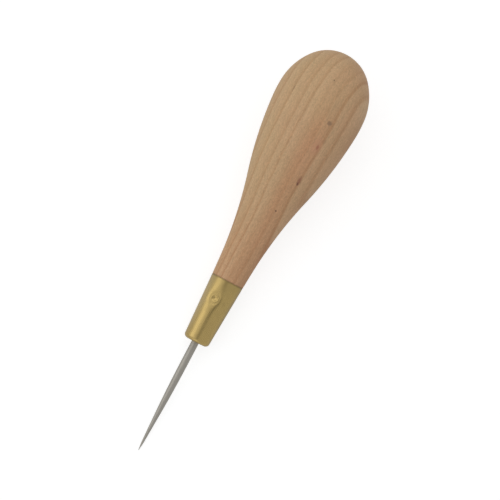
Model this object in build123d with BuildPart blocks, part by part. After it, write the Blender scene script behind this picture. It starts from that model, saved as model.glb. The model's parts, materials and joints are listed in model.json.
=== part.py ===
from build123d import *
import math
import os

# Scratch awl: a pear-shaped turned handle, a tapered brass cap ferrule and one round steel needle.
#
# Every piece is drawn in the tool's own plane, where x is the distance from the point of the blade
# along the tool's axis and y is the radius, and is turned about that axis. The tool lies as it does
# on a bench, resting on its belly and its point, so the tool's plane is tipped point-down about Y.
# Z is up, the butt points towards +X, and the origin is under the middle of the bounding box. Millimetres.

# Handle: arcs that follow one another round the outline, from the butt to the neck
overall_length = 165.0
crown_radius, crown_sweep = 15.4, 49.8
shoulder_radius, shoulder_sweep = 23.5, 36.0
swell_radius, swell_sweep = 49.0, 8.3
belly_radius, belly_sweep = 152.0, 11.3
neck_radius, neck_sweep = 162.0, 11.4        # this one curves the other way
neck_end_diameter = 12.5

# Ferrule: a drawn cup with a closed nose
ferrule_nose = 45.1                          # from the point of the blade
ferrule_mouth = 70.4
nose_diameter = 9.9
mouth_diameter = 12.55
ferrule_wall = 0.6
nose_corner_radius = 1.5
nose_hole_diameter = 3.0

# Stake: one punch mark that pushes the brass into the wood
stake_station = 62.7
stake_bearing = 11.8                         # degrees round the axis from the top, towards +Y
crater_radius = 1.6
crater_depth = 0.5
stake_thickness = 0.5                        # brass left under the crater

# Blade: a long taper, a round shank, and a hidden tang that is round at first and then square
point_radius = 0.3
point_half_angle = 2.5
shank_start = 37.0
shank_end = 44.6
shank_diameter = 2.8
round_tang_end = 54.0
round_tang_diameter = 2.5
tang_end = 78.0
tang_root_side = 1.75
tang_tip_side = 1.1

# Blind bore in the handle
spigot_gap = 0.4                             # between the spigot's end and the inside of the nose
pilot_diameter = 1.6
pilot_end = 81.0

# Widest round hole of a tool rack that the neck drops into
rack_hole_diameter = 16.0


# The handle's outline, drawn flat, from the pole of the butt to the ferrule's mouth
with BuildLine() as outline:
    crown = JernArc((overall_length, 0), (0, 1), crown_radius, crown_sweep)
    shoulder = JernArc(crown @ 1, crown % 1, shoulder_radius, shoulder_sweep)
    swell = JernArc(shoulder @ 1, shoulder % 1, swell_radius, swell_sweep)
    belly = JernArc(swell @ 1, swell % 1, belly_radius, belly_sweep)
    neck = JernArc(belly @ 1, belly % 1, neck_radius, -neck_sweep)
    Line(neck @ 1, (ferrule_mouth, neck_end_diameter / 2))

# The bench touches the rounded point and the belly arc, so the tilt is that of their common tangent
point_centre = Vector(point_radius, 0)
point_to_belly = belly.arc_center - point_centre
tangent_rise = belly_radius - point_radius
tilt = math.asin(tangent_rise / point_to_belly.length) + math.atan2(point_to_belly.Y, point_to_belly.X)
along = Vector(math.cos(tilt), 0, math.sin(tilt))

# The crown is the furthest thing towards +X and the point's ball the furthest towards -X
ball_to_crown = (overall_length - crown_radius - point_radius) * math.cos(tilt)
ball_centre = Vector(-(ball_to_crown + crown_radius - point_radius) / 2, 0, point_radius)
tool = Plane(origin=ball_centre - along * point_radius, x_dir=along, z_dir=(0, -1, 0))
tool_axis = Axis(tool.origin, along)


def on_axis(station):
    """The point of the tool's axis at a distance from the point of the blade."""
    return tool.from_local_coords(Vector(station, 0, 0))


def across(station):
    """The plane square to the tool's axis at a distance from the point of the blade."""
    return Plane(origin=on_axis(station), x_dir=tool.y_dir, z_dir=along)


def cone_radius(station):
    """Outside radius of the ferrule's taper."""
    share = (station - ferrule_nose) / (ferrule_mouth - ferrule_nose)
    return (nose_diameter + share * (mouth_diameter - nose_diameter)) / 2


def tang_radius(station):
    """Radius of the round part of the tang."""
    share = (station - shank_end) / (round_tang_end - shank_end)
    return (shank_diameter + share * (round_tang_diameter - shank_diameter)) / 2


bearing = math.radians(stake_bearing)
outward = tool.y_dir * math.cos(bearing) - tool.z_dir * math.sin(bearing)
stake_centre = on_axis(stake_station) + outward * (cone_radius(stake_station) + crater_radius - crater_depth)
bulge_radius = crater_radius + stake_thickness

# The hidden square tang, used twice: it is part of the blade, and it presses its socket in the wood
with BuildPart() as tang:
    with BuildSketch(across(round_tang_end)):
        Rectangle(tang_root_side, tang_root_side)
    with BuildSketch(across(tang_end)):
        Rectangle(tang_tip_side, tang_tip_side)
    loft()

# The brass that the punch pushed inwards, no further out than the ferrule's own surface
with BuildPart() as stake_bulge:
    with BuildSketch(tool):
        with BuildLine():
            cone = Line((ferrule_nose, nose_diameter / 2), (ferrule_mouth, mouth_diameter / 2))
            Polyline(cone @ 1, (ferrule_mouth, 0), (ferrule_nose, 0), cone @ 0)
        make_face()
    revolve(axis=tool_axis)
    with Locations(stake_centre):
        Sphere(bulge_radius, mode=Mode.INTERSECT)

# Turned handle, with its spigot inside the ferrule and its blind bore
spigot_end = ferrule_nose + ferrule_wall + spigot_gap
with BuildPart() as handle:
    with BuildSketch(tool):
        with BuildLine():
            add(outline.line)
            spigot = FilletPolyline(
                (ferrule_mouth, cone_radius(ferrule_mouth) - ferrule_wall),
                (spigot_end, cone_radius(spigot_end) - ferrule_wall),
                (spigot_end, 0),
                radius=nose_corner_radius,
            )
            Line((ferrule_mouth, neck_end_diameter / 2), spigot @ 0)
            Line(spigot @ 1, (overall_length, 0))
        make_face()
    revolve(axis=tool_axis)
    with BuildSketch(tool):
        with BuildLine():
            Polyline(
                (spigot_end, 0),
                (spigot_end, tang_radius(spigot_end)),
                (round_tang_end, tang_radius(round_tang_end)),
                (round_tang_end, pilot_diameter / 2),
                (pilot_end, pilot_diameter / 2),
                (pilot_end, 0),
                close=True,
            )
        make_face()
    revolve(axis=tool_axis, mode=Mode.SUBTRACT)
    add(tang.part, mode=Mode.SUBTRACT)
    with Locations(stake_centre):
        Sphere(bulge_radius, mode=Mode.SUBTRACT)

# Drawn brass ferrule, pierced at the nose and staked once
with BuildPart() as ferrule:
    with BuildSketch(tool):
        with BuildLine():
            outside = FilletPolyline(
                (ferrule_nose, nose_hole_diameter / 2),
                (ferrule_nose, nose_diameter / 2),
                (ferrule_mouth, mouth_diameter / 2),
                radius=nose_corner_radius,
            )
            inner_nose = ferrule_nose + ferrule_wall
            inside = FilletPolyline(
                (inner_nose, nose_hole_diameter / 2),
                (inner_nose, cone_radius(inner_nose) - ferrule_wall),
                (ferrule_mouth, mouth_diameter / 2 - ferrule_wall),
                radius=nose_corner_radius - ferrule_wall,
            )
            Line(outside @ 0, inside @ 0)
            Line(outside @ 1, inside @ 1)
        make_face()
    revolve(axis=tool_axis)
    add(stake_bulge.part)
    with Locations(stake_centre):
        Sphere(crater_radius, mode=Mode.SUBTRACT)

# Needle blade: ball point, cone, a long arc that runs out into the shank, then the tang
half_angle = math.radians(point_half_angle)
shank_radius = shank_diameter / 2
reach = (shank_start - point_radius) * math.sin(half_angle)
taper_radius = (point_radius + reach - shank_radius * math.cos(half_angle)) / (1 - math.cos(half_angle))
with BuildPart() as blade:
    with BuildSketch(tool):
        with BuildLine():
            taper = JernArc((shank_start, shank_radius), (-1, 0), taper_radius, point_half_angle)
            ball = CenterArc((point_radius, 0), point_radius, 90 + point_half_angle, 90 - point_half_angle)
            Line(taper @ 1, ball @ 0)
            Polyline(
                ball @ 1,
                (round_tang_end, 0),
                (round_tang_end, round_tang_diameter / 2),
                (shank_end, shank_radius),
                (shank_start, shank_radius),
            )
        make_face()
    revolve(axis=tool_axis)
    add(tang.part)

handle.part.label = "handle"
ferrule.part.label = "ferrule"
blade.part.label = "blade"

os.makedirs("parts", exist_ok=True)
export_step(handle.part, "parts/handle.step")
export_step(ferrule.part, "parts/ferrule.step")
export_step(blade.part, "parts/blade.step")


def in_metres(vector):
    """A place in metres, for the list of interfaces."""
    return [round(value / 1000, 6) for value in vector]


shank_middle = (shank_start + shank_end) / 2
widest = swell.arc_center.X
rack_half_chord = math.sqrt(neck_radius**2 - (neck.arc_center.Y - rack_hole_diameter / 2) ** 2)
rack_station = neck.arc_center.X + rack_half_chord
print("tilt", round(math.degrees(tilt), 3), "degrees")
print("towards the point", [round(-value, 6) for value in along])
print("blade_shank", in_metres(on_axis(shank_middle)), "length", round(shank_end - shank_start, 2))
print("grip", in_metres(on_axis(widest)), "diameter", round(2 * (swell.arc_center.Y + swell_radius), 2))
print("rack_seat", in_metres(on_axis(rack_station)))
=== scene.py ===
import json
import math

import bpy
from mathutils import Matrix, Vector


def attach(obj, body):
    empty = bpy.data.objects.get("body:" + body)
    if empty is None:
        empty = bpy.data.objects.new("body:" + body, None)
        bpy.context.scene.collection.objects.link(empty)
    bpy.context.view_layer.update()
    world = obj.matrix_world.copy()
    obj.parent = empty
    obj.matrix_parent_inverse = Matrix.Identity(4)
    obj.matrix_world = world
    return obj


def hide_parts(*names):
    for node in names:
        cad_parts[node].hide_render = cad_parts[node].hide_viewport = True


# Scratch awl: a turned wooden handle, a staked brass ferrule and a steel needle, lying on a pale sweep.
# Each piece is an outline of (distance from the blade's point, radius) in millimetres, which a Geometry
# Nodes tree turns about the tool's axis. The finishes read the same millimetres, so that grain, rings
# and grime sit where the sizes below say.

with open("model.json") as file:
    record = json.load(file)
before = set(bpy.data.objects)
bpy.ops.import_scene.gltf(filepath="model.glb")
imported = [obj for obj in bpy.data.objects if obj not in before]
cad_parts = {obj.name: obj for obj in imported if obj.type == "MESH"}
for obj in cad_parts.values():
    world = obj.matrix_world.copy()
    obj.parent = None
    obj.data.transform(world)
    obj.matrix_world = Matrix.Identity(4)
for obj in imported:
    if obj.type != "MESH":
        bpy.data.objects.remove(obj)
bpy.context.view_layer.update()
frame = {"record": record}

MM = 0.001

# ---------------------------------------------------------------- driving sizes, in millimetres

OVERALL_LENGTH = 165.0
HANDLE_ARCS = (  # radius and turn in degrees, from the butt to the neck; a turn below 0 is hollow
    (15.4, 49.8),
    (23.5, 36.0),
    (49.0, 8.3),
    (152.0, 11.3),
    (162.0, -11.4),
)
NECK_END_RADIUS = 6.25
SEAM_ROUND = 0.12  # the small round on the edges where wood meets brass
SANDED = 0.02  # sanding takes this much off the turned size

FERRULE_NOSE = 45.1
FERRULE_MOUTH = 70.4
NOSE_RADIUS = 4.95
MOUTH_RADIUS = 6.275
FERRULE_WALL = 0.6
NOSE_ROUND = 1.5
NOSE_HOLE_RADIUS = 1.5

SPIGOT_END = 46.1
PILOT_RADIUS = 0.8
PILOT_END = 81.0

POINT_RADIUS = 0.3
POINT_HALF_ANGLE = math.radians(2.5)
TIP_RADIUS = 0.07  # the very tip is ground finer than the taper's own rounded end
TIP_LENGTH = 3.0
SHANK_START = 37.0
SHANK_END = 44.6
SHANK_RADIUS = 1.4
ROUND_TANG_END = 54.0
ROUND_TANG_RADIUS = 1.25
TANG_END = 78.0
TANG_ROOT_HALF = 0.875
TANG_TIP_HALF = 0.55

STAKE_STATION = 62.7
STAKE_BEARING = math.radians(11.8)  # round the axis from the top, towards the left of the top view
HANDLE_SEGMENTS = 192  # round the axis
FERRULE_SEGMENTS = 320
BLADE_SEGMENTS = 64
FINE_REACH = 5.2  # the ferrule is finely divided this far either side of the stake
NEAR_WALL = 4.5  # the punch moves only what is less than this far below the surface it struck

# ---------------------------------------------------------------- the tool's own directions

shank = next(m for m in frame["record"]["mounts"] if m["name"] == "blade_shank")
ALONG = -Vector(shank["axis"]).normalized()  # from the point towards the butt
LEFT = Vector((0.0, 1.0, 0.0))  # left as seen from above with the butt up
UP = ALONG.cross(LEFT).normalized()
POINT = Vector(shank["pos_m"]) - ALONG * (SHANK_START + SHANK_END) / 2 * MM


def on_axis(station):
    """The place on the tool's axis at a distance in millimetres from the point."""
    return POINT + ALONG * station * MM


# ---------------------------------------------------------------- node helpers


def feed(tree, socket, value):
    """Links a socket, or sets its value; None leaves it as it is."""
    if isinstance(value, bpy.types.NodeSocket):
        tree.links.new(value, socket)
    elif value is not None:
        socket.default_value = value


def node(tree, kind, *values, **settings):
    """A new node with its settings, and its inputs fed in order."""
    made = tree.nodes.new(kind)
    for name, value in settings.items():
        setattr(made, name, value)
    for socket, value in zip(made.inputs, values):
        feed(tree, socket, value)
    return made


def maths(tree, operation, *values):
    return node(tree, "ShaderNodeMath", *values, operation=operation).outputs[0]


def vectors(tree, operation, *values):
    made = node(tree, "ShaderNodeVectorMath", operation=operation)
    sockets = [s for s in made.inputs if s.enabled]
    for socket, value in zip(sockets, values):
        feed(tree, socket, value)
    return next(s for s in made.outputs if s.enabled)


def shaped(tree, value, points):
    """A value from 0 to 1 sent through a smooth curve."""
    made = node(tree, "ShaderNodeFloatCurve")
    curve = made.mapping.curves[0]
    for x, y in points[1:-1]:
        curve.points.new(x, y)
    curve.points[0].location = points[0]
    curve.points[-1].location = points[-1]
    made.mapping.update()
    feed(tree, made.inputs["Factor"], 1.0)
    feed(tree, made.inputs["Value"], value)
    return made.outputs[0]


def new_tree(name, kind, inputs, outputs):
    """A node group with named sockets. Returns the tree, its input node and its output node."""
    tree = bpy.data.node_groups.new(name, kind)
    for label, (socket_type, default) in inputs.items():
        socket = tree.interface.new_socket(name=label, in_out="INPUT", socket_type=socket_type)
        if default is not None:
            socket.default_value = default
    for label, socket_type in outputs.items():
        tree.interface.new_socket(name=label, in_out="OUTPUT", socket_type=socket_type)
    return tree, tree.nodes.new("NodeGroupInput"), tree.nodes.new("NodeGroupOutput")


FLOAT = "NodeSocketFloat"
VECTOR = "NodeSocketVector"
GEOMETRY = "NodeSocketGeometry"


# ---------------------------------------------------------------- Geometry Nodes: turning on the lathe


def turning_tree():
    """Turns an outline, whose points are (station, radius), about the tool's axis into a closed mesh."""
    tree, given, result = new_tree(
        "turned_on_axis",
        "GeometryNodeTree",
        {
            "Outline": (GEOMETRY, None),
            "Segments": ("NodeSocketInt", 96),
            "Square Beyond": (FLOAT, 1.0),
            "Point": (VECTOR, None),
            "Along": (VECTOR, None),
            "Up": (VECTOR, None),
            "Left": (VECTOR, None),
            "Finish": ("NodeSocketMaterial", None),
        },
        {"Turned": GEOMETRY},
    )
    g = given.outputs
    size = node(tree, "GeometryNodeAttributeDomainSize", g["Outline"], component="MESH")
    rows = size.outputs["Point Count"]
    columns = maths(tree, "ADD", g["Segments"], 1.0)
    sheet = node(tree, "GeometryNodeMeshGrid", 1.0, 1.0, columns, rows).outputs["Mesh"]
    index = node(tree, "GeometryNodeInputIndex").outputs[0]
    row = maths(tree, "MODULO", index, rows)
    column = maths(tree, "FLOOR", maths(tree, "DIVIDE", index, rows))
    sample = node(tree, "GeometryNodeSampleIndex", data_type="FLOAT_VECTOR", domain="POINT")
    position = node(tree, "GeometryNodeInputPosition").outputs[0]
    feed(tree, sample.inputs["Geometry"], g["Outline"])
    feed(tree, sample.inputs["Value"], position)
    feed(tree, sample.inputs["Index"], row)
    outline = node(tree, "ShaderNodeSeparateXYZ", sample.outputs[0]).outputs
    station, radius = outline["X"], outline["Y"]
    turn = maths(tree, "DIVIDE", maths(tree, "MULTIPLY", column, math.tau), g["Segments"])
    cosine = maths(tree, "COSINE", turn)
    sine = maths(tree, "SINE", turn)
    # a square section: the radius grows towards the corners
    widest = maths(tree, "MAXIMUM", maths(tree, "ABSOLUTE", cosine), maths(tree, "ABSOLUTE", sine))
    square = maths(tree, "GREATER_THAN", station, g["Square Beyond"])
    divisor = maths(tree, "ADD", 1.0, maths(tree, "MULTIPLY", square, maths(tree, "SUBTRACT", widest, 1.0)))
    reach = maths(tree, "DIVIDE", radius, divisor)
    place = g["Point"]
    rise, swing = maths(tree, "MULTIPLY", reach, cosine), maths(tree, "MULTIPLY", reach, sine)
    for direction, amount in (("Along", station), ("Up", rise), ("Left", swing)):
        place = vectors(tree, "ADD", place, vectors(tree, "SCALE", g[direction], amount))
    placed = node(tree, "GeometryNodeSetPosition")
    feed(tree, placed.inputs["Geometry"], sheet)
    feed(tree, placed.inputs["Position"], place)
    closed = node(tree, "GeometryNodeMergeByDistance")
    feed(tree, closed.inputs["Geometry"], placed.outputs[0])
    feed(tree, closed.inputs["Distance"], 1e-6)
    smooth = node(tree, "GeometryNodeSetShadeSmooth", closed.outputs[0])
    real = node(tree, "GeometryNodeRealizeInstances", smooth.outputs[0])
    finished = node(tree, "GeometryNodeSetMaterial", real.outputs[0])
    feed(tree, finished.inputs["Material"], g["Finish"])
    feed(tree, result.inputs[0], finished.outputs[0])
    return tree


def punch_tree():
    """Pushes the wall in along the punch's line: a crater with a raised lip in a shallow sunk patch."""
    tree, given, result = new_tree(
        "punch_mark",
        "GeometryNodeTree",
        {
            "Wall": (GEOMETRY, None),
            "Place": (VECTOR, None),
            "Outward": (VECTOR, None),
            "Along": (VECTOR, None),
            "Crater Radius": (FLOAT, 0.0012),
            "Crater Depth": (FLOAT, 0.0005),
            "Lip Height": (FLOAT, 0.00004),
            "Sink Radius": (FLOAT, 0.003),
            "Sink Depth": (FLOAT, 0.00015),
            "Sink Stretch": (FLOAT, 1.5),
            "Roughness": (FLOAT, 0.0),
            "Finish": ("NodeSocketMaterial", None),
        },
        {"Punched": GEOMETRY},
    )
    g = given.outputs
    position = node(tree, "GeometryNodeInputPosition").outputs[0]
    away = vectors(tree, "SUBTRACT", position, g["Place"])
    height = vectors(tree, "DOT_PRODUCT", away, g["Outward"])
    flat = vectors(tree, "SUBTRACT", away, vectors(tree, "SCALE", g["Outward"], height))
    distance = vectors(tree, "LENGTH", flat)
    # the crater and its lip, from the middle out to twice the crater's radius
    across = maths(tree, "DIVIDE", distance, maths(tree, "MULTIPLY", g["Crater Radius"], 2.0))
    bowl = shaped(tree, maths(tree, "MINIMUM", across, 1.0),
                  ((0.0, 1.0), (0.16, 0.86), (0.36, 0.36), (0.5, 0.04), (0.58, 0.0), (1.0, 0.0)))
    crater = maths(tree, "MULTIPLY", bowl, g["Crater Depth"])
    lip_place = maths(tree, "DIVIDE", maths(tree, "SUBTRACT", across, 0.58), 0.12)
    lip_square = maths(tree, "MULTIPLY", lip_place, lip_place)
    lip = maths(tree, "EXPONENT", maths(tree, "MULTIPLY", lip_square, -1.0))
    lip = maths(tree, "MULTIPLY", lip, g["Lip Height"])
    # the sunk patch reaches further along the tool than across it
    run = vectors(tree, "DOT_PRODUCT", flat, g["Along"])
    shorter = maths(tree, "SUBTRACT", maths(tree, "DIVIDE", run, g["Sink Stretch"]), run)
    squeezed = vectors(tree, "ADD", flat, vectors(tree, "SCALE", g["Along"], shorter))
    share = maths(tree, "DIVIDE", vectors(tree, "LENGTH", squeezed), g["Sink Radius"])
    near = maths(tree, "MINIMUM", share, 1.0)
    dent = shaped(tree, near, ((0.0, 1.0), (0.26, 0.77), (0.52, 0.30), (0.74, 0.075), (1.0, 0.0)))
    sink = maths(tree, "MULTIPLY", dent, g["Sink Depth"])
    # torn, uneven metal on the crater's floor
    torn = node(tree, "ShaderNodeTexNoise", noise_dimensions="3D")
    feed(tree, torn.inputs["Vector"], position)
    feed(tree, torn.inputs["Scale"], 1400.0)
    feed(tree, torn.inputs["Detail"], 1.0)
    uneven = maths(tree, "MULTIPLY", maths(tree, "SUBTRACT", torn.outputs[0], 0.5), g["Roughness"])
    uneven = maths(tree, "MULTIPLY", uneven, bowl)
    depth = maths(tree, "ADD", maths(tree, "SUBTRACT", crater, lip), maths(tree, "ADD", sink, uneven))
    near_side = maths(tree, "GREATER_THAN", height, -NEAR_WALL * MM)
    inward = maths(tree, "MULTIPLY", maths(tree, "MULTIPLY", depth, near_side), -1.0)
    push = vectors(tree, "SCALE", g["Outward"], inward)
    moved = node(tree, "GeometryNodeSetPosition")
    feed(tree, moved.inputs["Geometry"], g["Wall"])
    feed(tree, moved.inputs["Offset"], push)
    real = node(tree, "GeometryNodeRealizeInstances", moved.outputs[0])
    finished = node(tree, "GeometryNodeSetMaterial", real.outputs[0])
    feed(tree, finished.inputs["Material"], g["Finish"])
    feed(tree, result.inputs[0], finished.outputs[0])
    return tree


def apply_tree(piece, tree, values):
    """Puts a tree on a piece, with its inputs set by their sockets' identifiers."""
    modifier = piece.modifiers.new(tree.name, "NODES")
    modifier.node_group = tree
    for item in tree.interface.items_tree:
        if item.in_out == "INPUT" and item.name in values:
            modifier[item.identifier] = values[item.name]


def plain_mesh(piece):
    """Replaces a piece's outline and modifiers by the mesh that they make."""
    bpy.context.view_layer.update()
    evaluated = piece.evaluated_get(bpy.context.evaluated_depsgraph_get())
    mesh = bpy.data.meshes.new_from_object(evaluated)
    piece.modifiers.clear()
    piece.data = mesh
    mesh.name = piece.name
    return piece


# ---------------------------------------------------------------- outlines, in millimetres


def arc(centre, radius, start, turn, step):
    """Points of an arc, in degrees, both ends included, about step millimetres apart."""
    count = max(3, math.ceil(abs(math.radians(turn)) * radius / step))
    angles = [math.radians(start + turn * i / count) for i in range(count + 1)]
    return [(centre[0] + radius * math.cos(a), centre[1] + radius * math.sin(a)) for a in angles]


def line(start, end, step):
    """Points of a straight run, both ends included."""
    count = max(1, math.ceil(math.dist(start, end) / step))
    share = [i / count for i in range(count + 1)]
    return [(start[0] + (end[0] - start[0]) * f, start[1] + (end[1] - start[1]) * f) for f in share]


def joined(*runs):
    """Runs end to end, with the points that two runs share kept once."""
    points = []
    for run in runs:
        points += [p for p in run if not points or math.dist(p, points[-1]) > 1e-4]
    return points


def rounded(corners, radius, step=0.04):
    """A short outline through corners, each inner one rounded by the radius."""
    runs, last = [], corners[0]
    for before, corner, after in zip(corners, corners[1:], corners[2:]):
        into = (Vector(before) - Vector(corner)).normalized()
        out = (Vector(after) - Vector(corner)).normalized()
        half = into.angle(out) / 2
        centre = Vector(corner) + (into + out).normalized() * radius / math.sin(half)
        first = Vector(corner) + into * radius / math.tan(half)
        start = math.degrees(math.atan2(first.y - centre.y, first.x - centre.x))
        sign = 1.0 if into.cross(out) < 0 else -1.0
        turn = sign * (180.0 - math.degrees(2 * half))
        bend = arc(centre, radius, start, turn, step)
        runs += [line(last, bend[0], 0.5), bend]
        last = bend[-1]
    return joined(*runs, line(last, corners[-1], 0.5))


def cone_radius(station):
    """Outside radius of the ferrule's taper."""
    share = (station - FERRULE_NOSE) / (FERRULE_MOUTH - FERRULE_NOSE)
    return NOSE_RADIUS + share * (MOUTH_RADIUS - NOSE_RADIUS)


def tang_radius(station):
    """Radius of the round part of the tang."""
    share = (station - SHANK_END) / (ROUND_TANG_END - SHANK_END)
    return SHANK_RADIUS + share * (ROUND_TANG_RADIUS - SHANK_RADIUS)


def handle_outline():
    """From the butt's pole round the swell to the neck, then the spigot and the blind bore."""
    runs, at, heading = [], (OVERALL_LENGTH - SANDED, 0.0), 90.0
    for radius, turn in HANDLE_ARCS:
        side = 90.0 if turn > 0 else -90.0
        radius -= math.copysign(SANDED, turn)
        toward = math.radians(heading + side)
        centre = (at[0] + radius * math.cos(toward), at[1] + radius * math.sin(toward))
        run = arc(centre, radius, heading - side, turn, 0.6)
        runs.append(run)
        at, heading = run[-1], heading + turn
    inner = cone_radius(FERRULE_MOUTH) - FERRULE_WALL
    shoulder = rounded([at, (FERRULE_MOUTH, NECK_END_RADIUS), (FERRULE_MOUTH, inner)], SEAM_ROUND)
    spigot_nose = cone_radius(SPIGOT_END) - FERRULE_WALL
    runs += [shoulder, line(shoulder[-1], (SPIGOT_END + 1.0, spigot_nose), 0.3)]
    runs.append(line((SPIGOT_END, spigot_nose - 1.0), (SPIGOT_END, tang_radius(SPIGOT_END)), 1.0))
    runs.append(line((SPIGOT_END, tang_radius(SPIGOT_END)), (ROUND_TANG_END, ROUND_TANG_RADIUS), 1.0))
    runs.append([(ROUND_TANG_END, PILOT_RADIUS), (PILOT_END, PILOT_RADIUS), (PILOT_END, 0.0)])
    return joined(*runs)


def ferrule_outline():
    """From the rim of the nose's hole over the outside to the mouth, and back up the inside."""
    fine = STAKE_STATION - FINE_REACH, STAKE_STATION + FINE_REACH
    outside = nose_over_outside(fine)
    mouth = (FERRULE_MOUTH, MOUTH_RADIUS)
    inner_mouth = (FERRULE_MOUTH, MOUTH_RADIUS - FERRULE_WALL)
    inner_fine = [(s, cone_radius(s) - FERRULE_WALL) for s in (fine[1], fine[0])]
    rim = rounded([(fine[1], cone_radius(fine[1])), mouth, inner_mouth, inner_fine[0]], SEAM_ROUND)
    inner_nose = FERRULE_NOSE + FERRULE_WALL
    corner = NOSE_ROUND - FERRULE_WALL
    inner_corner = (inner_nose + corner, cone_radius(inner_nose + corner) - FERRULE_WALL)
    bend = arc((inner_corner[0], inner_corner[1] - corner), corner, 90.0, 90.0, 0.15)
    return joined(
        outside,
        line(outside[-1], (fine[1], cone_radius(fine[1])), 0.09),
        rim,
        line(inner_fine[0], inner_fine[1], 0.30),
        line(inner_fine[1], inner_corner, 0.8),
        bend,
        line(bend[-1], (inner_nose, NOSE_HOLE_RADIUS), 1.0),
        [outside[0]],
    )


def nose_over_outside(fine):
    """The pierced nose, its round corner, and the taper as far as the finely divided stretch."""
    slope = math.atan2(MOUTH_RADIUS - NOSE_RADIUS, FERRULE_MOUTH - FERRULE_NOSE)
    centre_radius = NOSE_RADIUS + NOSE_ROUND * math.tan(slope) - NOSE_ROUND / math.cos(slope)
    centre = (FERRULE_NOSE + NOSE_ROUND, centre_radius)
    bend = arc(centre, NOSE_ROUND, 180.0, -(90.0 - math.degrees(slope)), 0.08)
    lip = arc((FERRULE_NOSE + 0.2, NOSE_HOLE_RADIUS + 0.2), 0.2, 270.0, -90.0, 0.05)
    taper = line(bend[-1], (fine[0], cone_radius(fine[0])), 0.4)
    return joined(lip, line(lip[-1], bend[0], 0.3), bend, taper)


def blade_outline():
    """From the rounded point over the taper and the shank to the end of the hidden tang."""
    sine, cosine = math.sin(POINT_HALF_ANGLE), math.cos(POINT_HALF_ANGLE)
    reach = (SHANK_START - POINT_RADIUS) * sine
    taper_radius = (POINT_RADIUS + reach - SHANK_RADIUS * cosine) / (1 - cosine)
    start = (POINT_RADIUS * (1 + sine), POINT_RADIUS * cosine)
    meets = (TIP_LENGTH, start[1] + (TIP_LENGTH - start[0]) * math.tan(POINT_HALF_ANGLE))
    tip_angle = math.degrees(math.atan2(meets[1] - TIP_RADIUS, TIP_LENGTH - TIP_RADIUS))
    ball = arc((TIP_RADIUS, 0.0), TIP_RADIUS, 180.0, tip_angle - 90.0, 0.02)
    taper_centre = (SHANK_START, SHANK_RADIUS - taper_radius)
    slant = math.degrees(POINT_HALF_ANGLE)
    taper = arc(taper_centre, taper_radius, 90.0 + slant, -slant, 0.8)
    return joined(
        ball,
        line(ball[-1], meets, 0.4),
        line(meets, taper[0], 0.8),
        taper,
        line(taper[-1], (SHANK_END, SHANK_RADIUS), 1.0),
        line((SHANK_END, SHANK_RADIUS), (ROUND_TANG_END, ROUND_TANG_RADIUS), 1.0),
        [(ROUND_TANG_END, TANG_ROOT_HALF)],
        line((ROUND_TANG_END + 0.05, TANG_ROOT_HALF), (TANG_END, TANG_TIP_HALF), 4.0),
        [(TANG_END, 0.0)],
    )


def turned_piece(name, outline, segments, finish, square_beyond=OVERALL_LENGTH):
    """A named piece turned from an outline about the tool's axis."""
    mesh = bpy.data.meshes.new(name)
    mesh.from_pydata([(s * MM, r * MM, 0.0) for s, r in outline], [], [])
    piece = bpy.data.objects.new(name, mesh)
    bpy.context.scene.collection.objects.link(piece)
    apply_tree(piece, TURNING, {
        "Segments": segments,
        "Square Beyond": square_beyond * MM,
        "Point": POINT,
        "Along": ALONG,
        "Up": UP,
        "Left": LEFT,
        "Finish": finish,
    })
    return piece


# ---------------------------------------------------------------- finishes

BUMP_STRENGTH = 0.5


def tool_millimetres(tree):
    """Millimetres along the tool from its point, left of its axis, and above its axis."""
    turn = Matrix((ALONG, LEFT, UP))
    place = node(tree, "ShaderNodeMapping", vector_type="POINT")
    feed(tree, place.inputs["Vector"], node(tree, "ShaderNodeTexCoord").outputs["Object"])
    place.inputs["Location"].default_value = -(turn @ POINT) / MM
    place.inputs["Rotation"].default_value = turn.to_euler("XYZ")
    place.inputs["Scale"].default_value = (1 / MM,) * 3
    return place.outputs[0]


def scaled(tree, vector, along, across):
    """The tool's millimetres divided by a feature's length and width."""
    return vectors(tree, "DIVIDE", vector, (along, across, across))


def noise(tree, vector, scale=1.0, detail=2.0, roughness=0.5, distortion=0.0):
    made = node(tree, "ShaderNodeTexNoise", noise_dimensions="3D")
    for name, value in (("Vector", vector), ("Scale", scale), ("Detail", detail),
                        ("Roughness", roughness), ("Distortion", distortion)):
        feed(tree, made.inputs[name], value)
    return made.outputs["Fac"]


def ranged(tree, value, low, high, to_low=0.0, to_high=1.0, smooth=True):
    made = node(tree, "ShaderNodeMapRange", value, low, high, to_low, to_high)
    if smooth:
        made.interpolation_type = "SMOOTHSTEP"
    return made.outputs[0]


def mixed(tree, factor, first, second, blend="MIX"):
    made = node(tree, "ShaderNodeMix", data_type="RGBA", blend_type=blend)
    feed(tree, made.inputs[0], factor)
    feed(tree, made.inputs[6], first)
    feed(tree, made.inputs[7], second)
    return made.outputs[2]


def streaks_group():
    """Fine lines along the tool: wood fibre, drawn brass and ground steel, by length and width."""
    tree, given, result = new_tree(
        "lengthwise_streaks",
        "ShaderNodeTree",
        {"Length": (FLOAT, 4.0), "Width": (FLOAT, 0.4), "Spread": (FLOAT, 1.0)},
        {"Streak": FLOAT},
    )
    g = given.outputs
    sizes = node(tree, "ShaderNodeCombineXYZ", g["Length"], g["Width"], g["Width"]).outputs[0]
    value = noise(tree, vectors(tree, "DIVIDE", tool_millimetres(tree), sizes), 1.0, 3.0, 0.55)
    centred = maths(tree, "MULTIPLY", maths(tree, "SUBTRACT", value, 0.5), g["Spread"])
    feed(tree, result.inputs[0], maths(tree, "ADD", centred, 0.5))
    return tree


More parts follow.
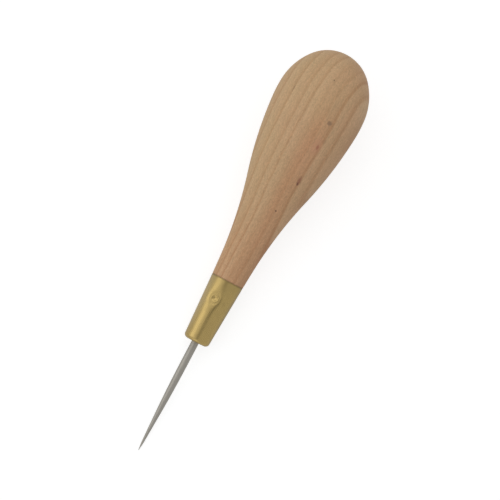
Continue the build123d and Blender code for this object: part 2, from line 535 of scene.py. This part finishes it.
def patches_group():
    """Soft uneven patches: tone in wood, tarnish on brass, stain on steel."""
    tree, given, result = new_tree(
        "soft_patches",
        "ShaderNodeTree",
        {"Size": (FLOAT, 6.0), "Low": (FLOAT, 0.4), "High": (FLOAT, 0.65)},
        {"Patch": FLOAT},
    )
    g = given.outputs
    sizes = node(tree, "ShaderNodeCombineXYZ", g["Size"], g["Size"], g["Size"]).outputs[0]
    value = noise(tree, vectors(tree, "DIVIDE", tool_millimetres(tree), sizes), 1.0, 4.0, 0.6)
    feed(tree, result.inputs[0], ranged(tree, value, g["Low"], g["High"]))
    return tree


def band_group():
    """A soft band round the tool at a station: grime in a joint, or dull metal beside it."""
    tree, given, result = new_tree(
        "band_round_tool",
        "ShaderNodeTree",
        {"Station": (FLOAT, 70.4), "Width": (FLOAT, 0.5), "Raggedness": (FLOAT, 0.3)},
        {"Band": FLOAT},
    )
    g = given.outputs
    place = tool_millimetres(tree)
    station = node(tree, "ShaderNodeSeparateXYZ", place).outputs["X"]
    ragged = maths(tree, "SUBTRACT", noise(tree, scaled(tree, place, 1.5, 0.8), 1.0, 3.0, 0.6), 0.5)
    station = maths(tree, "ADD", station, maths(tree, "MULTIPLY", ragged, g["Raggedness"]))
    away = maths(tree, "ABSOLUTE", maths(tree, "SUBTRACT", station, g["Station"]))
    feed(tree, result.inputs[0], ranged(tree, maths(tree, "DIVIDE", away, g["Width"]), 0.0, 1.0, 1.0, 0.0))
    return tree


def spot_group():
    """A mark on the upper side, such as a gum fleck, a stain, a pale patch, or a patch of painted light or
    shade, with a ragged edge.
    """
    tree, given, result = new_tree(
        "fleck",
        "ShaderNodeTree",
        {
            "Station": (FLOAT, 100.0),
            "Left": (FLOAT, 0.0),
            "Length": (FLOAT, 2.0),
            "Width": (FLOAT, 1.0),
            "Raggedness": (FLOAT, 0.6),
        },
        {"Fleck": FLOAT},
    )
    g = given.outputs
    place = tool_millimetres(tree)
    axes = node(tree, "ShaderNodeSeparateXYZ", place).outputs
    run = maths(tree, "DIVIDE", maths(tree, "SUBTRACT", axes["X"], g["Station"]), g["Length"])
    side = maths(tree, "DIVIDE", maths(tree, "SUBTRACT", axes["Y"], g["Left"]), g["Width"])
    square = maths(tree, "ADD", maths(tree, "MULTIPLY", run, run), maths(tree, "MULTIPLY", side, side))
    ragged = maths(tree, "SUBTRACT", noise(tree, scaled(tree, place, 0.8, 0.5), 1.0, 3.0, 0.6), 0.5)
    edge = maths(tree, "ADD", maths(tree, "SQRT", square), maths(tree, "MULTIPLY", ragged, g["Raggedness"]))
    mask = ranged(tree, edge, 0.35, 1.0, 1.0, 0.0)
    upper = ranged(tree, axes["Z"], -4.0, 0.5)
    feed(tree, result.inputs[0], maths(tree, "MULTIPLY", mask, upper))
    return tree


def use(tree, group, **values):
    """Places a shared group with its own values, and gives its first output."""
    made = node(tree, "ShaderNodeGroup", node_tree=group)
    for name, value in values.items():
        feed(tree, made.inputs[name.replace("_", " ")], value)
    return made.outputs[0]


def new_finish(name):
    """An empty material with a Principled surface. Returns the material, its tree and the shader."""
    finish = bpy.data.materials.new(name)
    finish.use_nodes = True
    tree = finish.node_tree
    tree.nodes.clear()
    surface = node(tree, "ShaderNodeBsdfPrincipled")
    feed(tree, node(tree, "ShaderNodeOutputMaterial").inputs["Surface"], surface.outputs[0])
    return finish, tree, surface


def bumped(tree, surface, height, depth_mm):
    """Feeds a height, in the given depth, to the surface's normal."""
    bump = node(tree, "ShaderNodeBump")
    feed(tree, bump.inputs["Strength"], BUMP_STRENGTH)
    feed(tree, bump.inputs["Distance"], depth_mm * MM)
    feed(tree, bump.inputs["Height"], height)
    feed(tree, surface.inputs["Normal"], bump.outputs[0])


# Growth layers: where each late line cuts the layer coordinate, and how strong it is
GROWTH_LINES = (
    (-20.5, 0.8),
    (-16.4, 0.7),
    (-12.3, 0.9),
    (-7.3, 0.9),
    (-2.2, 0.7),
    (1.1, 0.9),
    (4.9, 0.25),
    (7.8, 0.45),
    (10.8, 1.1),
    (13.8, 0.9),
    (16.4, 0.9),
    (20.0, 0.8),
)
GROWTH_CURVE = (  # across a line: share of the way, and tone, with 0.5 as no change
    (0.0, 0.5),
    (0.19, 0.47),
    (0.31, 0.37),
    (0.372, 0.0),
    (0.428, 0.46),
    (0.48, 0.80),
    (0.62, 0.69),
    (0.81, 0.56),
    (1.0, 0.5),
)
GROWTH_DEPTHS = (0.165, 0.29, 0.375)  # of red, green and blue: the late lines are redder as well as darker
LAYER_TILT = 0.34  # how fast the layers shift towards the right as they rise
LAYER_DRIFT = 0.0317  # and as they run towards the butt
LAYER_FAN = 0.00452  # how fast they spread apart towards the butt
LAYER_STATION = 120.0
FAN_ENDS = 20.0  # this far past it, towards the butt, they run parallel
ROSY_LAYER = 8.0
RAY_FLECK_LAYER = 1.6

# Gum flecks and stains: station, left, length, width, colour and strength
WOOD_FLECKS = (
    (137.9, -6.1, 1.2, 1.2, (0.310, 0.185, 0.110, 1.0), 0.75),
    (128.5, -5.9, 4.5, 2.4, (0.640, 0.310, 0.190, 1.0), 0.35),
    (128.3, -6.3, 1.4, 0.6, (0.400, 0.120, 0.075, 1.0), 0.60),
    (131.3, -7.6, 1.3, 0.9, (0.360, 0.200, 0.120, 1.0), 0.22),
    (114.6, -6.1, 2.2, 0.9, (0.340, 0.140, 0.085, 1.0), 0.70),
    (113.4, -6.1, 0.9, 0.5, (0.160, 0.065, 0.045, 1.0), 0.75),
    (101.2, -3.7, 0.5, 0.5, (0.150, 0.065, 0.045, 1.0), 0.75),
    (152.5, -0.4, 0.4, 0.35, (0.180, 0.115, 0.070, 1.0), 0.75),
    (143.5, 11.3, 1.6, 0.3, (0.240, 0.140, 0.080, 1.0), 0.45),
)


def layer_coordinate(tree, place):
    """Which growth layer a place is in, in millimetres across the layers at LAYER_STATION."""
    bend = noise(tree, scaled(tree, place, 34.0, 16.0), 1.0, 1.0, 0.4)
    kink = noise(tree, scaled(tree, place, 7.0, 4.0), 1.0, 2.0, 0.5)
    axes = node(tree, "ShaderNodeSeparateXYZ", place).outputs
    past = maths(tree, "SUBTRACT", axes["X"], LAYER_STATION)
    right = maths(tree, "MULTIPLY_ADD", axes["Z"], LAYER_TILT, maths(tree, "MULTIPLY", axes["Y"], -1.0))
    right = maths(tree, "MULTIPLY_ADD", past, -LAYER_DRIFT, right)
    spread = maths(tree, "MULTIPLY_ADD", maths(tree, "MINIMUM", past, FAN_ENDS), LAYER_FAN, 1.0)
    layer = maths(tree, "DIVIDE", right, spread)
    layer = maths(tree, "MULTIPLY_ADD", maths(tree, "SUBTRACT", bend, 0.5), 2.2, layer)
    return maths(tree, "MULTIPLY_ADD", maths(tree, "SUBTRACT", kink, 0.5), 0.45, layer)


def growth_line_group():
    """Tone across one growth line, below 0 where it is dark: a thin late line, then paler early wood."""
    tree, given, result = new_tree(
        "growth_line",
        "ShaderNodeTree",
        {"Layer": (FLOAT, 0.0), "Place": (FLOAT, 0.0), "Strength": (FLOAT, 1.0)},
        {"Tone": FLOAT},
    )
    g = given.outputs
    # the curve runs from 3 mm before the line to 5 mm after it
    past = maths(tree, "ADD", maths(tree, "SUBTRACT", g["Layer"], g["Place"]), 3.0)
    share = ranged(tree, past, 0.0, 8.0, smooth=False)
    curve = shaped(tree, share, GROWTH_CURVE)
    feed(tree, result.inputs[0], maths(tree, "MULTIPLY", maths(tree, "SUBTRACT", curve, 0.5), g["Strength"]))
    return tree


def growth_tone(tree, groups, layer):
    """All the growth lines together."""
    tone = None
    for place, strength in GROWTH_LINES:
        line_tone = use(tree, groups["growth"], Layer=layer, Place=place, Strength=strength)
        tone = line_tone if tone is None else maths(tree, "ADD", tone, line_tone)
    return tone


def handle_finish(groups):
    """Pale fine-grained hardwood: fanned growth lines, long fibre, ray fleck, gum flecks, satin finish."""
    finish, tree, surface = new_finish("handle_wood")
    place = tool_millimetres(tree)
    layer = layer_coordinate(tree, place)
    station = node(tree, "ShaderNodeSeparateXYZ", place).outputs["X"]
    growth = growth_tone(tree, groups, layer)
    growth = maths(tree, "MULTIPLY", growth, ranged(tree, station, 82.0, 112.0, 1.5, 1.08))
    fibre = use(tree, groups["streaks"], Length=2.6, Width=0.40, Spread=1.0)
    long_fibre = use(tree, groups["streaks"], Length=26.0, Width=0.8, Spread=1.2)
    pores = noise(tree, scaled(tree, place, 0.75, 0.45), 1.0, 2.0, 0.6)
    tone = use(tree, groups["patches"], Size=15.0, Low=0.36, High=0.64)
    # from honey on the left of the layers to a pinker brown on the right
    warm = ranged(tree, layer, -13.0, 8.0)
    colour = mixed(tree, warm, (0.630, 0.420, 0.222, 1.0), (0.595, 0.366, 0.197, 1.0))
    colour = mixed(tree, maths(tree, "MULTIPLY", tone, 0.25), colour, (0.665, 0.388, 0.222, 1.0))
    # paler on top of the crown; and painted rim light, a paler, bluer right side of the crown
    pale = use(tree, groups["fleck"], Station=149.0, Left=-2.0, Length=20.0, Width=12.0)
    colour = mixed(tree, pale, colour, (1.05, 1.07, 1.06, 1.0), "MULTIPLY")
    # painted rim light: lightens and blues the right side of the crown
    side = use(tree, groups["fleck"], Station=150.0, Left=-18.0, Length=18.0, Width=7.0)
    colour = mixed(tree, side, colour, (1.08, 1.14, 1.20, 1.0), "MULTIPLY")
    # rosier in the neck and in one band of layers
    away = maths(tree, "ABSOLUTE", maths(tree, "SUBTRACT", layer, ROSY_LAYER))
    below_crown = ranged(tree, station, 132.0, 146.0, 1.0, 0.0)
    band = maths(tree, "MULTIPLY", ranged(tree, away, 1.2, 3.8, 0.9, 0.0), below_crown)
    rosy = maths(tree, "MAXIMUM", band, ranged(tree, station, 82.0, 106.0, 0.8, 0.0))
    colour = mixed(tree, rosy, colour, (1.02, 0.930, 0.910, 1.0), "MULTIPLY")
    shade = ranged(tree, fibre, 0.2, 0.8, 0.91, 1.09, smooth=False)
    shade = maths(tree, "MULTIPLY", shade, ranged(tree, long_fibre, 0.2, 0.8, 0.94, 1.06, smooth=False))
    shade = maths(tree, "MULTIPLY", shade, ranged(tree, pores, 0.2, 0.8, 0.83, 1.17, smooth=False))
    red, green, blue = (maths(tree, "MULTIPLY", shade, maths(tree, "MULTIPLY_ADD", growth, depth, 1.0))
                        for depth in GROWTH_DEPTHS)
    shading = node(tree, "ShaderNodeCombineColor", red, green, blue).outputs[0]
    colour = mixed(tree, 1.0, colour, shading, "MULTIPLY")
    # short pale squiggles of ray fleck, in a band of layers near the middle
    squiggle = noise(tree, scaled(tree, place, 2.4, 0.9), 1.0, 1.0, 0.5, 1.6)
    off_line = maths(tree, "ABSOLUTE", maths(tree, "SUBTRACT", squiggle, 0.5))
    flecked = ranged(tree, off_line, 0.0, 0.035, 1.0, 0.0)
    off_middle = maths(tree, "ABSOLUTE", maths(tree, "SUBTRACT", layer, RAY_FLECK_LAYER))
    middle = ranged(tree, off_middle, 1.5, 4.5, 1.0, 0.0)
    flecked = maths(tree, "MULTIPLY", maths(tree, "MULTIPLY", flecked, middle), 0.42)
    colour = mixed(tree, flecked, colour, (0.780, 0.560, 0.320, 1.0))
    for at, left, length, width, stain, strength in WOOD_FLECKS:
        fleck = use(tree, groups["fleck"], Station=at, Left=left, Length=length, Width=width)
        colour = mixed(tree, maths(tree, "MULTIPLY", fleck, strength), colour, stain)
    grime = use(tree, groups["band"], Station=FERRULE_MOUTH, Width=0.55, Raggedness=0.5)
    colour = mixed(tree, maths(tree, "MULTIPLY", grime, 0.4), colour, (0.150, 0.085, 0.045, 1.0))
    feed(tree, surface.inputs["Base Color"], colour)
    feed(tree, surface.inputs["Roughness"], ranged(tree, fibre, 0.2, 0.8, 0.62, 0.50, smooth=False))
    surface.inputs["Specular IOR Level"].default_value = 0.35
    relief = maths(tree, "MULTIPLY_ADD", growth, 0.5, fibre)
    bumped(tree, surface, relief, 0.02)
    return finish


def ferrule_finish(groups):
    """Dull drawn brass: lengthwise drawing lines, tarnish, a painted reflection down the left flank and
    painted shade down the right, grime at the mouth.
    """
    finish, tree, surface = new_finish("ferrule_brass")
    drawn = use(tree, groups["streaks"], Length=9.0, Width=0.22, Spread=1.6)
    tarnish = use(tree, groups["patches"], Size=3.2, Low=0.42, High=0.70)
    fine = use(tree, groups["patches"], Size=0.8, Low=0.35, High=0.7)
    clean, tarnished = (0.648, 0.470, 0.178, 1.0), (0.500, 0.365, 0.145, 1.0)
    colour = mixed(tree, maths(tree, "MULTIPLY", tarnish, 0.30), clean, tarnished)
    colour = mixed(tree, maths(tree, "MULTIPLY", drawn, 0.12), colour, (0.740, 0.560, 0.250, 1.0))
    dull = use(tree, groups["band"], Station=FERRULE_MOUTH, Width=7.0, Raggedness=1.5)
    colour = mixed(tree, maths(tree, "MULTIPLY", dull, 0.30), colour, (0.530, 0.400, 0.160, 1.0))
    # painted reflection: a paler, greyer left flank, as if the pale floor showed in the brass; painted
    # shade: a darker right flank
    # painted reflection down the left flank
    flank = use(tree, groups["fleck"], Station=57.0, Left=6.6, Length=26.0, Width=3.6, Raggedness=0.2)
    colour = mixed(tree, flank, colour, (1.12, 1.19, 1.55, 1.0), "MULTIPLY")
    # painted shade down the right flank
    flank = use(tree, groups["fleck"], Station=57.0, Left=-6.6, Length=26.0, Width=2.8, Raggedness=0.2)
    colour = mixed(tree, flank, colour, (0.88, 0.90, 0.92, 1.0), "MULTIPLY")
    smudge = use(tree, groups["fleck"], Station=62.1, Left=-2.75, Length=1.2, Width=0.9)
    colour = mixed(tree, maths(tree, "MULTIPLY", smudge, 0.25), colour, (0.420, 0.310, 0.130, 1.0))
    grime = use(tree, groups["band"], Station=FERRULE_MOUTH, Width=0.75, Raggedness=0.5)
    colour = mixed(tree, maths(tree, "MULTIPLY", grime, 0.5), colour, (0.230, 0.165, 0.080, 1.0))
    feed(tree, surface.inputs["Base Color"], colour)
    surface.inputs["Metallic"].default_value = 1.0
    rough = ranged(tree, drawn, 0.2, 0.8, 0.22, 0.30, smooth=False)
    rough = maths(tree, "MULTIPLY_ADD", tarnish, 0.06, rough)
    feed(tree, surface.inputs["Roughness"], maths(tree, "MULTIPLY_ADD", dull, 0.06, rough))
    relief = maths(tree, "MULTIPLY_ADD", drawn, 0.35, fine)
    bumped(tree, surface, relief, 0.004)
    return finish


def blade_finish(groups):
    """Ground steel: lengthwise brushing, slanting grinding marks near the point, a faint warm stain."""
    finish, tree, surface = new_finish("blade_steel")
    place = tool_millimetres(tree)
    brushed = use(tree, groups["streaks"], Length=14.0, Width=0.12, Spread=1.8)
    stain = use(tree, groups["patches"], Size=5.0, Low=0.45, High=0.75)
    slant = node(tree, "ShaderNodeMapping", vector_type="POINT")
    feed(tree, slant.inputs["Vector"], place)
    slant.inputs["Rotation"].default_value = (0.0, 0.0, math.radians(58.0))
    ground = noise(tree, vectors(tree, "DIVIDE", slant.outputs[0], (2.5, 0.10, 0.5)), 1.0, 2.0, 0.5)
    near_point = ranged(tree, node(tree, "ShaderNodeSeparateXYZ", place).outputs["X"], 8.0, 34.0, 1.0, 0.25)
    bright, stained = (0.500, 0.473, 0.418, 1.0), (0.385, 0.352, 0.296, 1.0)
    colour = mixed(tree, maths(tree, "MULTIPLY", stain, 0.35), bright, stained)
    colour = mixed(tree, maths(tree, "MULTIPLY", brushed, 0.25), colour, (0.660, 0.640, 0.600, 1.0))
    feed(tree, surface.inputs["Base Color"], colour)
    surface.inputs["Metallic"].default_value = 1.0
    feed(tree, surface.inputs["Roughness"], ranged(tree, brushed, 0.2, 0.8, 0.44, 0.58, smooth=False))
    relief = maths(tree, "MULTIPLY_ADD", maths(tree, "MULTIPLY", ground, near_point), 1.2, brushed)
    bumped(tree, surface, relief, 0.006)
    return finish


# ---------------------------------------------------------------- studio

VIEW_STATION = 70.4  # the camera looks square on to the tool's axis here
VIEW_DISTANCE = 0.65
VIEW_WIDTH = 0.18465  # what the view spans at the tool's axis
AIM_STATION = 84.44
AIM_RIGHT = 2.04
ROLL = math.radians(27.765)  # the tool leans this far to the right of upright
SENSOR = 36.0
ROOM_LIGHT = 0.50
OVERHEAD_LIGHT = 0.20  # the room is darker round the camera
OVERHEAD_EDGE = (15.5, 6.5)  # degrees from straight above where that starts, and where it is full
FLOOR_GREY = 0.84
SHADOWED_GREY = 0.40  # the share of the seen floor that takes shadows
FLOOR_LIFT = 0.78  # and the share that doesn't
FLOOR_HALF = 3.0


def make_camera():
    """Looks straight down on the tool, which leans to the right with its point at the lower left."""
    data = bpy.data.cameras.new("camera")
    camera = bpy.data.objects.new("camera", data)
    bpy.context.scene.collection.objects.link(camera)
    data.sensor_width = SENSOR
    data.lens = SENSOR * VIEW_DISTANCE / VIEW_WIDTH
    data.clip_start, data.clip_end = 0.01, 10.0
    place = on_axis(VIEW_STATION) + UP * VIEW_DISTANCE
    aim = on_axis(AIM_STATION) - LEFT * AIM_RIGHT * MM
    back = (place - aim).normalized()
    upright = ALONG * math.cos(ROLL) + LEFT * math.sin(ROLL)
    upright = (upright - back * upright.dot(back)).normalized()
    right = upright.cross(back)
    turn = Matrix((right, upright, back)).transposed().to_4x4()
    camera.matrix_world = Matrix.Translation(place) @ turn
    bpy.context.scene.camera = camera


def softbox(name, direction, distance, width, height, radiance):
    """A rectangular soft light in a direction from the tool, with its brightness as seen from there."""
    data = bpy.data.lights.new(name, "AREA")
    data.shape = "RECTANGLE"
    data.size, data.size_y = width, height
    data.energy = radiance * math.pi * width * height
    light = bpy.data.objects.new(name, data)
    bpy.context.scene.collection.objects.link(light)
    away = direction.normalized()
    side = (ALONG - away * ALONG.dot(away)).normalized()
    turn = Matrix((away.cross(side) * -1.0, side, away)).transposed().to_4x4()
    light.matrix_world = Matrix.Translation(on_axis(AIM_STATION) + away * distance) @ turn


def lean(degrees, toward):
    """A direction that leans from straight above the tool by an angle."""
    angle = math.radians(degrees)
    return UP * math.cos(angle) + toward.normalized() * math.sin(angle)


def grey(value):
    """A grey colour of a given brightness."""
    return (value, value, value, 1.0)


def make_world():
    """An even pale studio, a little darker overhead where the camera hangs, seen as plain white."""
    world = bpy.data.worlds.new("studio")
    bpy.context.scene.world = world
    world.use_nodes = True
    tree = world.node_tree
    tree.nodes.clear()
    toward = node(tree, "ShaderNodeTexCoord").outputs["Generated"]
    overhead = vectors(tree, "DOT_PRODUCT", vectors(tree, "NORMALIZE", toward), tuple(UP))
    outer, inner = (math.cos(math.radians(angle)) for angle in OVERHEAD_EDGE)
    dark = ranged(tree, overhead, outer, inner)
    room = mixed(tree, dark, grey(ROOM_LIGHT), grey(OVERHEAD_LIGHT))
    lit = node(tree, "ShaderNodeBackground", room, 1.0).outputs[0]
    seen = node(tree, "ShaderNodeBackground", grey(1.0), 1.0).outputs[0]
    camera_ray = node(tree, "ShaderNodeLightPath").outputs["Is Camera Ray"]
    chosen = node(tree, "ShaderNodeMixShader", camera_ray, lit, seen).outputs[0]
    feed(tree, node(tree, "ShaderNodeOutputWorld").inputs["Surface"], chosen)


def make_floor():
    """A wide pale sweep that reads almost white, with faint shadows."""
    mesh = bpy.data.meshes.new("floor")
    corners = [(x * FLOOR_HALF, y * FLOOR_HALF, 0.0) for x, y in ((-1, -1), (1, -1), (1, 1), (-1, 1))]
    mesh.from_pydata(corners, [], [(0, 1, 2, 3)])
    floor = bpy.data.objects.new("floor", mesh)
    bpy.context.scene.collection.objects.link(floor)
    finish = bpy.data.materials.new("floor_paper")
    finish.use_nodes = True
    tree = finish.node_tree
    tree.nodes.clear()
    calm = node(tree, "ShaderNodeBsdfDiffuse", grey(FLOOR_GREY)).outputs[0]
    pale = node(tree, "ShaderNodeBsdfDiffuse", grey(SHADOWED_GREY)).outputs[0]
    lift = node(tree, "ShaderNodeEmission", grey(1.0), FLOOR_LIFT).outputs[0]
    shown = node(tree, "ShaderNodeAddShader", pale, lift).outputs[0]
    camera_ray = node(tree, "ShaderNodeLightPath").outputs["Is Camera Ray"]
    chosen = node(tree, "ShaderNodeMixShader", camera_ray, calm, shown).outputs[0]
    feed(tree, node(tree, "ShaderNodeOutputMaterial").inputs["Surface"], chosen)
    mesh.materials.append(finish)


# ---------------------------------------------------------------- the awl

TURNING = turning_tree()
PUNCH = punch_tree()
GROUPS = {
    "streaks": streaks_group(),
    "patches": patches_group(),
    "band": band_group(),
    "fleck": spot_group(),
    "growth": growth_line_group(),
}
OUTWARD = UP * math.cos(STAKE_BEARING) + LEFT * math.sin(STAKE_BEARING)
PUNCH_VALUES = {
    "Place": on_axis(STAKE_STATION) + OUTWARD * cone_radius(STAKE_STATION) * MM,
    "Outward": OUTWARD,
    "Along": ALONG,
    "Crater Radius": 1.15 * MM,
    "Crater Depth": 0.38 * MM,
    "Lip Height": 0.04 * MM,
    "Sink Radius": 4.6 * MM,
    "Sink Depth": 0.60 * MM,
    "Sink Stretch": 1.35,
}


def make_awl():
    """The handle, the ferrule and the blade, each standing for its CAD node."""
    wood, brass, steel = handle_finish(GROUPS), ferrule_finish(GROUPS), blade_finish(GROUPS)
    handle = turned_piece("turned_handle", handle_outline(), HANDLE_SEGMENTS, wood)
    apply_tree(handle, PUNCH, {**PUNCH_VALUES, "Roughness": 0.0, "Lip Height": 0.0, "Finish": wood})
    ferrule = turned_piece("brass_ferrule", ferrule_outline(), FERRULE_SEGMENTS, brass)
    apply_tree(ferrule, PUNCH, {**PUNCH_VALUES, "Roughness": 0.34 * MM, "Finish": brass})
    blade = turned_piece("needle_blade", blade_outline(), BLADE_SEGMENTS, steel, ROUND_TANG_END + 0.02)
    for piece, stands_for, slot in (
        (handle, "handle", "handle_wood"),
        (ferrule, "ferrule", "ferrule_brass"),
        (blade, "blade", "blade_steel"),
    ):
        plain_mesh(piece)
        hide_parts(stands_for)
        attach(piece, "root")


make_awl()
make_floor()
make_world()
make_camera()
# name, direction, distance, width, height and brightness
softbox("key", lean(54.0, LEFT), 0.60, 0.34, 0.70, 0.36)
softbox("key_skirt", lean(50.0, LEFT), 0.60, 0.80, 0.90, 0.18)
softbox("butt_side", lean(38.0, ALONG + LEFT * 0.2), 0.70, 0.50, 0.40, 0.78)
softbox("point_side", lean(76.0, LEFT * 0.3 - ALONG), 0.70, 0.80, 0.40, 0.40)

view = bpy.context.scene.view_settings
view.view_transform = "Standard"
view.look = "None"
